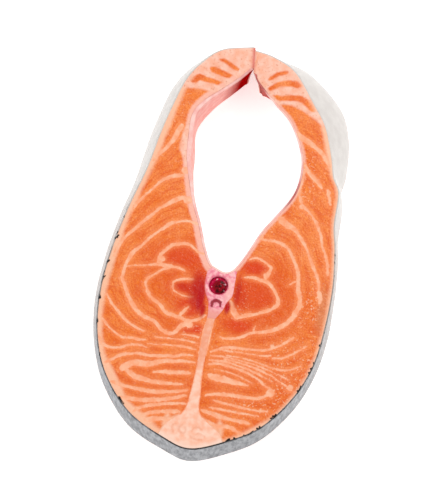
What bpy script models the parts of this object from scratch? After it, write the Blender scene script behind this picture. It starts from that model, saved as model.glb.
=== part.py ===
"""Raw salmon steak, one slice across the fish, lying on its cut face.

Two halves of flesh meet at the back, where a pad of fat and the backbone part them. Their thinner
ends curve round the open belly cavity and meet again at the slit. A thin skin wraps the outside
and a thin lining covers the cavity's wall. The back points to -Y and the belly to +Y.
Sizes below are in millimetres, measured from the middle of the backbone at the lower cut face.
"""

import math

import bpy
import numpy as np
from mathutils import Vector, geometry

MM = 0.001

THICK = 22.0            # from cut face to cut face
GAP = 0.3               # between solids that touch
SKIN_THICK = 1.0
SKIN_FOOT = 0.5         # the skin ends this far above the lower cut face
SKIN_DROP = 0.3         # and this far below the upper one
LINING_FOOT = 0.5
SLIT_HALF = 0.35        # half the opening between the two belly ends
WALL_STEP = 4.2         # spacing of the points along an outline
FACE_STEP = 4.4         # spacing of the points on an upper cut face
LEAN_POWER = 1.6        # 1 is a straight wall from face to face, more is a bulging one
LEVELS = (0.0, 0.05, 0.35, 0.65, 0.94, 1.0)
FLESH_EDGE = 0.3        # how far an edge is rounded off
THIN_EDGE = 0.2
CROWN = 0.7             # rise of the flesh's cut face between its edges
CROWN_REACH = 6.0
PAD_CROWN = 0.3

MARROW_RADIUS = 3.8
MARROW_SIDES = 24
MARROW_SINK = 0.7       # the marrow lies this far below both ends of its bore
BONE_RISE = 0.25

# The skin's upper edge, from the slit down the left side, round the back and up the right side.
# The third number is how much further out the same place is at the lower cut face.
OUTER = (
    (-1.9, 106.0, 3.0), (-14.9, 102.7, 5.0), (-22.6, 95.5, 7.0), (-27.8, 87.1, 7.4),
    (-31.4, 75.0, 7.0), (-34.4, 61.9, 6.5), (-37.4, 44.8, 5.8), (-41.7, 28.2, 5.1),
    (-45.3, 9.6, 4.3), (-46.9, -9.0, 3.4), (-45.0, -27.3, 2.0), (-38.9, -43.1, 1.1),
    (-27.1, -57.1, 0.8), (-12.0, -65.2, 0.2), (-0.4, -68.2, 0.0), (13.7, -62.9, 0.0),
    (26.2, -55.1, 0.0), (36.7, -41.6, 0.2), (42.8, -26.9, 0.7), (45.2, -10.8, 1.6),
    (45.9, 5.9, 1.5), (44.5, 22.3, 2.2), (42.7, 32.8, 2.6), (42.6, 46.6, 2.6),
    (39.4, 53.7, 4.5), (37.4, 62.0, 7.6), (33.0, 74.8, 11.5), (26.9, 84.1, 14.0),
    (17.2, 97.2, 10.5), (7.2, 102.7, 5.0), (-1.1, 104.6, 2.5),
)

# The cavity's upper edge, from the slit down the left side, over the backbone and up the right.
# The third number is how much further from the cavity the lower edge is, the fourth the lining.
INNER = (
    (-0.9, 95.5, 3.5, 1.0), (-5.6, 89.6, 3.7, 1.2), (-12.0, 83.2, 3.2, 1.3),
    (-17.6, 77.6, 1.5, 1.5), (-20.8, 71.5, 0.3, 1.8), (-20.6, 62.0, -0.8, 2.0),
    (-19.8, 52.5, -0.8, 1.9), (-17.6, 43.2, -0.5, 1.6), (-14.9, 33.8, 0.0, 1.3),
    (-11.0, 24.6, 0.0, 1.2), (-7.7, 15.3, 0.0, 1.1), (-4.4, 8.8, 0.0, 1.0),
    (-1.8, 7.2, 0.0, 0.9), (1.2, 6.1, 0.0, 0.9), (3.9, 6.8, 0.0, 0.9),
    (6.5, 10.1, 0.0, 0.8), (9.9, 17.2, 0.0, 0.8), (13.7, 25.9, 0.0, 0.8),
    (18.6, 33.6, -0.6, 0.8), (23.5, 42.0, -1.4, 0.9), (25.4, 50.0, -0.4, 0.9),
    (25.0, 58.5, 2.5, 0.8), (22.3, 66.3, 5.5, 0.8), (17.8, 74.3, 7.5, 0.8),
    (11.8, 80.1, 8.0, 0.8), (6.2, 85.5, 7.0, 0.8), (1.4, 90.7, 4.5, 0.8),
    (0.3, 93.8, 3.0, 0.8),
)

# The backbone's sides below the cavity, from the lining down to the tip of its spine.
BONE_LEFT = ((-5.3, 5.4), (-5.7, 0.5), (-4.8, -3.7), (-3.3, -6.6), (-2.5, -10.0), (-2.3, -14.0))
BONE_RIGHT = ((6.4, 6.6), (6.4, 1.0), (6.2, -3.6), (4.4, -6.8), (3.2, -10.2), (0.9, -14.0))

# The fat's sides, from the spine's tip down between the halves and out along the back's pad.
FAT_LEFT = ((-2.4, -14.3), (-2.8, -22.0), (-3.4, -34.0), (-4.1, -45.0), (-5.6, -53.0), (-12.0, -59.6))
FAT_RIGHT = ((0.9, -14.3), (-0.3, -22.0), (-0.4, -34.0), (0.3, -45.0), (1.6, -53.5), (10.5, -60.4))

COLOURS = {
    "flesh": ((0.83, 0.27, 0.11), 0.38),
    "skin": ((0.36, 0.37, 0.40), 0.35),
    "lining": ((0.82, 0.50, 0.44), 0.40),
    "bone": ((0.84, 0.42, 0.40), 0.45),
    "marrow": ((0.20, 0.005, 0.012), 0.25),
    "fat": ((0.97, 0.62, 0.44), 0.45),
}


def clear_scene():
    for old in list(bpy.data.objects):
        bpy.data.objects.remove(old, do_unlink=True)


def smooth(knots, step):
    """Points about one step apart on a smooth curve through the knots, all columns carried along."""
    knots = np.array(knots, float)
    line = np.vstack([2 * knots[0] - knots[1], knots, 2 * knots[-1] - knots[-2]])
    rows = []
    for before, start, end, after in zip(line, line[1:], line[2:], line[3:]):
        count = max(1, round(float(np.linalg.norm((end - start)[:2])) / step))
        for t in np.arange(count) / count:
            slope = (end - before) * t
            bend = (2 * before - 5 * start + 4 * end - after) * t**2
            twist = (3 * start - before - 3 * end + after) * t**3
            rows.append(start + 0.5 * (slope + bend + twist))
    return np.array(rows + [knots[-1]])


def left_normals(points):
    """Unit vectors to the left of the way that the points run."""
    run = np.gradient(points[:, :2], axis=0)
    run /= np.linalg.norm(run, axis=1, keepdims=True)
    return np.stack([-run[:, 1], run[:, 0]], axis=1)


def leaning(points, away, lean):
    """Rows of x, y and how far each moves out at the lower cut face."""
    return np.hstack([points[:, :2], away * np.asarray(lean)[:, None]])


def upright(points):
    """The same rows for a wall that stands straight."""
    points = np.asarray(points, float)[:, :2]
    return np.hstack([points, np.zeros_like(points)])


def inset(rows, towards, distance):
    moved = rows.copy()
    moved[:, :2] += towards * np.asarray(distance).reshape(-1, 1)
    return moved


def loop_inward(points):
    """Unit vectors towards the material, which lies left of each edge of a closed loop."""
    run = np.roll(points, -1, axis=0) - np.roll(points, 1, axis=0)
    run /= np.linalg.norm(run, axis=1, keepdims=True)
    return np.stack([-run[:, 1], run[:, 0]], axis=1)


def inside(loop, spots):
    """Which spots lie within a closed loop, by the number of its edges to their right."""
    x, y = spots[:, 0], spots[:, 1]
    hit = np.zeros(len(spots), bool)
    for (ax, ay), (bx, by) in zip(loop, np.roll(loop, -1, axis=0)):
        if ay == by:
            continue
        cross = (ay > y) != (by > y)
        hit ^= cross & (x < ax + (y - ay) * (bx - ax) / (by - ay))
    return hit


def edge_distance(loop, spots):
    """The distance from each spot to the nearest edge of a closed loop."""
    nearest = np.full(len(spots), np.inf)
    for start, end in zip(loop, np.roll(loop, -1, axis=0)):
        along = end - start
        share = np.clip((spots - start) @ along / (along @ along), 0, 1)
        gap = spots - start - share[:, None] * along
        nearest = np.minimum(nearest, np.linalg.norm(gap, axis=1))
    return nearest


def face_spots(loop, step):
    """A triangular grid of spots within a loop, none close to its edge."""
    low, high = loop.min(axis=0), loop.max(axis=0)
    rows = []
    for n, y in enumerate(np.arange(low[1], high[1], step * math.sqrt(3) / 2)):
        x = np.arange(low[0] + (n % 2) * step / 2, high[0], step)
        rows.append(np.stack([x, np.full_like(x, y)], axis=1))
    spots = np.vstack(rows)
    spots = spots[inside(loop, spots)]
    return spots[edge_distance(loop, spots) > 0.55 * step]


def cap(loops, spots):
    """Triangles over the loops and spots, as indices into the loops' points and then the spots."""
    points = np.vstack(loops + [spots])
    edges, first = [], 0
    for loop in loops:
        count = len(loop)
        edges += [(first + n, first + (n + 1) % count) for n in range(count)]
        first += count
    flat = [Vector((float(x), float(y))) for x, y in points]
    _, _, faces, origins, _, _ = geometry.delaunay_2d_cdt(flat, edges, [], 1, 1e-6)
    faces = [tuple(origins[corner][0] for corner in face) for face in faces]
    middles = np.array([points[list(face)].mean(axis=0) for face in faces])
    kept = inside(loops[0], middles)
    for hole in loops[1:]:
        kept &= ~inside(hole, middles)
    return [face for face, keep in zip(faces, kept) if keep]


def finish_material(name, colour, roughness):
    material = bpy.data.materials.new(name)
    material.use_nodes = True
    shader = material.node_tree.nodes["Principled BSDF"]
    shader.inputs["Base Color"].default_value = (*colour, 1.0)
    shader.inputs["Roughness"].default_value = roughness
    shader.inputs["Metallic"].default_value = 0.0
    material.diffuse_color = (*colour, 1.0)
    return material


def halves(verts, a, b, c, d):
    """A wall's four-sided face split along its shorter diagonal, so that facing walls split alike."""
    if math.dist(verts[a], verts[c]) <= math.dist(verts[b], verts[d]):
        return [(a, b, c), (a, c, d)]
    return [(a, b, d), (b, c, d)]


def slab(name, finish, loops, bottom, top, edge, crown=0.0):
    """A solid between two heights: its walls follow the loops and its upper face may be crowned."""
    heights = [bottom + (top - bottom) * share for share in LEVELS]
    verts, faces, starts = [], [], []
    for n, z in enumerate(heights):
        share = 1 - min(1.0, z / THICK) ** LEAN_POWER
        starts.append(len(verts))
        for loop in loops:
            ring = loop[:, :2] + loop[:, 2:] * share
            if n in (0, len(heights) - 1):
                ring = ring + loop_inward(ring) * edge
            verts += [(x, y, z) for x, y in ring]
    first = 0
    for loop in loops:
        count = len(loop)
        for low, high in zip(starts, starts[1:]):
            for n in range(count):
                a, b = first + n, first + (n + 1) % count
                faces += halves(verts, low + a, low + b, high + b, high + a)
        first += count

    def rings(level):
        xy = np.array(verts[starts[level]:starts[level] + first])[:, :2]
        cuts = np.cumsum([len(loop) for loop in loops])[:-1]
        return np.split(xy, cuts)

    lower = cap(rings(0), np.empty((0, 2)))
    faces += [tuple(reversed(face)) for face in lower]
    upper_rings = rings(-1)
    spots = face_spots(upper_rings[0], FACE_STEP) if crown else np.empty((0, 2))
    if crown:
        rise = crown * (1 - np.exp(-edge_distance(upper_rings[0], spots) / CROWN_REACH))
        extra = len(verts)
        verts += [(x, y, top + lift) for (x, y), lift in zip(spots, rise)]
    for face in cap(upper_rings, spots):
        faces.append(tuple(starts[-1] + n if n < first else extra + n - first for n in face))

    mesh = bpy.data.meshes.new(name)
    mesh.from_pydata([(x * MM, y * MM, z * MM) for x, y, z in verts], [], faces)
    mesh.validate()
    mesh.shade_smooth()
    mesh.set_sharp_from_angle(angle=math.radians(40))
    made = bpy.data.objects.new(name, mesh)
    colour, roughness = COLOURS[finish]
    made.data.materials.append(finish_material(name, colour, roughness))
    return made


def outer_rows():
    """The skin's outside and the unit vectors that point out of the steak."""
    curve = smooth(OUTER, WALL_STEP)
    away = -left_normals(curve)
    return leaning(curve, away, curve[:, 2]), away


def inner_rows():
    """The lining's free side, the unit vectors that point away from the cavity, and its thickness."""
    curve = smooth(INNER, WALL_STEP)
    away = -left_normals(curve)
    return leaning(curve, away, curve[:, 2]), away, curve[:, 3]


def side_of_slit(rows, left):
    """Rows whose end at the slit keeps half of the slit's opening."""
    moved = rows.copy()
    moved[:, 0] += -SLIT_HALF if left else SLIT_HALF
    return moved


def side_ends(rows, left):
    """Rows of one half, whose one end at the slit keeps half of the slit's opening."""
    moved = rows.copy()
    where = slice(0, 1) if left else slice(-1, None)
    moved[where] = side_of_slit(moved[where], left)
    return moved


def make_skin(outer, away):
    inner = inset(outer, away, -SKIN_THICK)
    outer, inner = (side_ends(side_ends(rows, True), False) for rows in (outer, inner))
    loop = np.vstack([outer, inner[::-1]])
    return slab("skin", "skin", [loop], SKIN_FOOT, THICK - SKIN_DROP, THIN_EDGE)


def make_lining(inner, away, thick):
    back = inset(inner, away, thick)
    front, back = (side_ends(side_ends(rows, True), False) for rows in (inner, back))
    loop = np.vstack([back, front[::-1]])
    return slab("cavity_lining", "lining", [loop], LINING_FOOT, THICK, THIN_EDGE)


def nearest(rows, spot):
    return int(np.argmin(np.linalg.norm(rows[:, :2] - np.array(spot), axis=1)))


def beside(row, towards, distance):
    """The row moved a distance along the wall towards another row."""
    run = towards[:2] - row[:2]
    moved = row.copy()
    moved[:2] += run / np.linalg.norm(run) * distance
    return moved[None]


def fat_side(left, outside):
    """One side of the fat, from the spine's tip to its corner on the outer wall, and that corner."""
    side = smooth(FAT_LEFT if left else FAT_RIGHT, WALL_STEP)
    corner = nearest(outside, side[-1])
    side[-1] = outside[corner, :2]
    return side, corner


def make_flesh(left, outer, outer_away, inner, inner_away, thick):
    """One half: its outer wall, the pad and spine beside it, and its share of the cavity's wall."""
    outside = inset(outer, outer_away, -(SKIN_THICK + GAP))
    cavity = inset(inner, inner_away, thick + GAP)
    fat, corner = fat_side(left, outside)
    bone = smooth(BONE_LEFT if left else BONE_RIGHT, WALL_STEP)
    middle = np.vstack([bone, fat])
    away = -left_normals(middle) if left else left_normals(middle)
    middle = upright(middle + away * GAP)[:-1]
    bend = nearest(cavity, bone[0])
    if left:
        outside = side_ends(outside[:corner + 1], True)
        outside[-1:] = beside(outside[-1], outside[-2], GAP)
        cavity = side_ends(cavity[:bend], True)
        loop = np.vstack([outside, middle[::-1], cavity[::-1]])
    else:
        outside = side_ends(outside[corner:], False)
        outside[:1] = beside(outside[0], outside[1], GAP)
        cavity = side_ends(cavity[bend + 1:], False)
        loop = np.vstack([outside, cavity[::-1], middle])
    name = "flesh_left" if left else "flesh_right"
    return slab(name, "flesh", [loop], 0.0, THICK, FLESH_EDGE, CROWN)


def make_fat(outer, outer_away):
    outside = inset(outer, outer_away, -(SKIN_THICK + GAP))
    left, first = fat_side(True, outside)
    right, last = fat_side(False, outside)
    loop = np.vstack([upright(left[:-1]), outside[first:last + 1], upright(right[-2::-1])])
    return slab("dorsal_fat", "fat", [loop], 0.0, THICK, FLESH_EDGE, PAD_CROWN)


def circle(radius, sides):
    turn = np.arange(sides) * 2 * math.pi / sides
    return np.stack([radius * np.cos(turn), radius * np.sin(turn)], axis=1)


def make_backbone(inner, inner_away, thick):
    cavity = inset(inner, inner_away, thick + GAP)
    left = smooth(BONE_LEFT, WALL_STEP)
    right = smooth(BONE_RIGHT, WALL_STEP)
    first, last = nearest(cavity, left[0]), nearest(cavity, right[0])
    roof = cavity[first + 1:last]
    loop = np.vstack([upright(left), upright(right[::-1]), roof[::-1]])
    bore = upright(circle(MARROW_RADIUS, MARROW_SIDES)[::-1])
    return slab("backbone", "bone", [loop, bore], 0.0, THICK + BONE_RISE, THIN_EDGE)


def make_marrow():
    loop = upright(circle(MARROW_RADIUS - GAP, MARROW_SIDES))
    return slab("marrow", "marrow", [loop], MARROW_SINK, THICK - MARROW_SINK, THIN_EDGE)


def stand_on_origin(parts):
    """Moves every mesh so that the origin is the middle of the steak's footprint."""
    corners = np.array([vert.co for part in parts for vert in part.data.vertices])
    low, high = corners.min(axis=0), corners.max(axis=0)
    shift = Vector((-(low[0] + high[0]) / 2, -(low[1] + high[1]) / 2, -low[2]))
    for part in parts:
        for vert in part.data.vertices:
            vert.co += shift


def main():
    clear_scene()
    outer, outer_away = outer_rows()
    inner, inner_away, thick = inner_rows()
    parts = [
        make_flesh(True, outer, outer_away, inner, inner_away, thick),
        make_flesh(False, outer, outer_away, inner, inner_away, thick),
        make_skin(outer, outer_away),
        make_lining(inner, inner_away, thick),
        make_fat(outer, outer_away),
        make_backbone(inner, inner_away, thick),
        make_marrow(),
    ]
    stand_on_origin(parts)
    steak = bpy.data.collections.new("salmon_steak")
    bpy.context.scene.collection.children.link(steak)
    for part in parts:
        steak.objects.link(part)


main()
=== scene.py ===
"""Looks of the raw salmon steak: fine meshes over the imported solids, finishes, light and camera.

Sizes are in millimetres, measured from the middle of the backbone at the lower cut face.
"""

import itertools
import math

import bpy
import numpy as np
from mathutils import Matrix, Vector, geometry


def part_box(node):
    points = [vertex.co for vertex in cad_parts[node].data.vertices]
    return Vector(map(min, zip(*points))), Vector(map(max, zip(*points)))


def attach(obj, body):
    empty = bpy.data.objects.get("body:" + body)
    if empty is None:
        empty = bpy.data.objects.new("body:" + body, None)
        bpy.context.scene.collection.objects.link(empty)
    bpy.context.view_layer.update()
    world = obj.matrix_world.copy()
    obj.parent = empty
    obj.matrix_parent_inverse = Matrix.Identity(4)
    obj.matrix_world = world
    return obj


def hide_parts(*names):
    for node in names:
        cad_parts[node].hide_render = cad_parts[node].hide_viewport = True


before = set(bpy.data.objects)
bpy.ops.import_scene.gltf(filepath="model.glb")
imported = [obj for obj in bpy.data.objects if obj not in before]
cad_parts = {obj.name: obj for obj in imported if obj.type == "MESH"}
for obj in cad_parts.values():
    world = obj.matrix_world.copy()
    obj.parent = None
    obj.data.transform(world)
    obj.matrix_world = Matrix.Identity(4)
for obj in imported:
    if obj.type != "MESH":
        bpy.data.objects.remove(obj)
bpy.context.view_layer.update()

scene = bpy.context.scene

MM = 0.001
SEED = 7

THICK = 22.0
SKIN_THICK = 1.0
SKIN_SHOWN = 0.55       # of the skin's edge, the flesh covers the rest
SKIN_FOOT = 0.5
SKIN_DROP = 0.25
LINING_FOOT = 0.5
SLIT = (-1.5, 106.0, -0.31, 95.2)     # the line where the belly ends lie against each other
SLIT_PRESS = 0.22       # how far each belly end's flesh reaches past that line
SLIT_SHIFT = 0.34       # how far the ends of skin and lining are moved towards it
TOUCH = -0.03           # between pieces that lie against each other, less than nothing is a press
LEAN_POWER = 1.6        # how the walls' lean grows from the upper face to the lower one
OUTLINE_STEP = 0.6
WALL_LEVEL = 1.1
ROUND_STEPS = 4
ROUNDING = 0.14
CORNER_ROOM = 1.8       # outline steps that a corner needs for the full rounding
FACE_STEP = 0.4         # spacing of the points on the upper cut face
UNDER_STEP = 1.1
JITTER = 0.22
OUTLINE_MARGIN = 0.5    # steps between the outline and the nearest spot within it
HOLE_MARGIN = 0.4
UNDER_RELIEF = 0.15     # share of the upper face's relief that the lower face gets
SKIN_INSET = 0.1        # keeps the curves within the solids' straight pieces
HIGHEST = 22.63
FAR = 9.0               # beyond every distance that the looks tell apart
CURVE_STEP = 1.2        # spacing of the points on a drawn line
THINNEST = 0.18         # the least half-width of a drawn band
LINE_REACH = 5          # how far round a line or a stroke distances are measured
STROKE_REACH = 7
SMALL_STROKES = 44      # on the skin's edge, besides those of the table, and only below this y
STROKES_BELOW = 24

MARROW_RADIUS = 3.8
HOLE_SIDES = 60
MARROW_SINK = 0.7

# The lines of the upper cut face: x, y and how far the wall leans out below, for INNER also the
# lining's thickness.
OUTER = (
    (-1.9, 106.0, 3.0), (-14.9, 102.7, 5.0), (-22.6, 95.5, 7.0), (-27.8, 87.1, 7.4),
    (-31.4, 75.0, 7.0), (-34.4, 61.9, 6.5), (-37.4, 44.8, 5.8), (-41.7, 28.2, 5.1),
    (-45.3, 9.6, 4.3), (-46.9, -9.0, 3.4), (-45.0, -27.3, 2.0), (-38.9, -43.1, 1.1),
    (-27.1, -57.1, 0.8), (-12.0, -65.2, 0.2), (-0.4, -68.2, 0.0), (13.7, -62.9, 0.0),
    (26.2, -55.1, 0.0), (36.7, -41.6, 0.2), (42.8, -26.9, 0.7), (45.2, -10.8, 1.6),
    (45.9, 5.9, 1.5), (44.5, 22.3, 2.2), (42.7, 32.8, 2.6), (42.6, 46.6, 2.6),
    (39.4, 53.7, 4.5), (37.4, 62.0, 7.6), (33.0, 74.8, 11.5), (26.9, 84.1, 14.0),
    (17.2, 97.2, 10.5), (7.2, 102.7, 5.0), (-1.1, 104.6, 2.5),
)
INNER = (
    (-0.9, 95.5, 3.5, 1.0), (-5.6, 89.6, 3.7, 1.2), (-12.0, 83.2, 3.2, 1.3),
    (-17.6, 77.6, 1.5, 1.5), (-20.8, 71.5, 0.3, 1.8), (-20.6, 62.0, -0.8, 2.0),
    (-19.8, 52.5, -0.8, 1.9), (-17.6, 43.2, -0.5, 1.6), (-14.9, 33.8, 0.0, 1.3),
    (-11.0, 24.6, 0.0, 1.2), (-7.7, 15.3, 0.0, 1.1), (-4.4, 8.8, 0.0, 1.0),
    (-1.8, 7.2, 0.0, 0.9), (1.2, 6.1, 0.0, 0.9), (3.9, 6.8, 0.0, 0.9),
    (6.5, 10.1, 0.0, 0.8), (9.9, 17.2, 0.0, 0.8), (13.7, 25.9, 0.0, 0.8),
    (18.6, 33.6, -0.6, 0.8), (23.5, 42.0, -1.4, 0.9), (25.4, 50.0, -0.4, 0.9),
    (25.0, 58.5, 2.5, 0.8), (22.3, 66.3, 5.5, 0.8), (17.8, 74.3, 7.5, 0.8),
    (11.8, 80.1, 8.0, 0.8), (6.2, 85.5, 7.0, 0.8), (1.4, 90.7, 4.5, 0.8),
    (0.3, 93.8, 3.0, 0.8),
)
BONE_LEFT = ((-5.3, 5.4), (-5.7, 0.5), (-4.8, -3.7), (-3.3, -6.6), (-2.5, -10.0), (-2.3, -14.0))
BONE_RIGHT = ((6.4, 6.6), (6.4, 1.0), (6.2, -3.6), (4.4, -6.8), (3.2, -10.2), (0.9, -14.0))
FAT_LEFT = (
    (-2.4, -13.9), (-2.8, -22.0), (-3.4, -34.0), (-4.1, -45.0), (-5.6, -53.0), (-12.0, -59.6),
)
FAT_RIGHT = (
    (0.9, -13.9), (-0.3, -22.0), (-0.4, -34.0), (0.3, -45.0), (1.6, -53.5), (10.5, -60.4),
)

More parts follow.
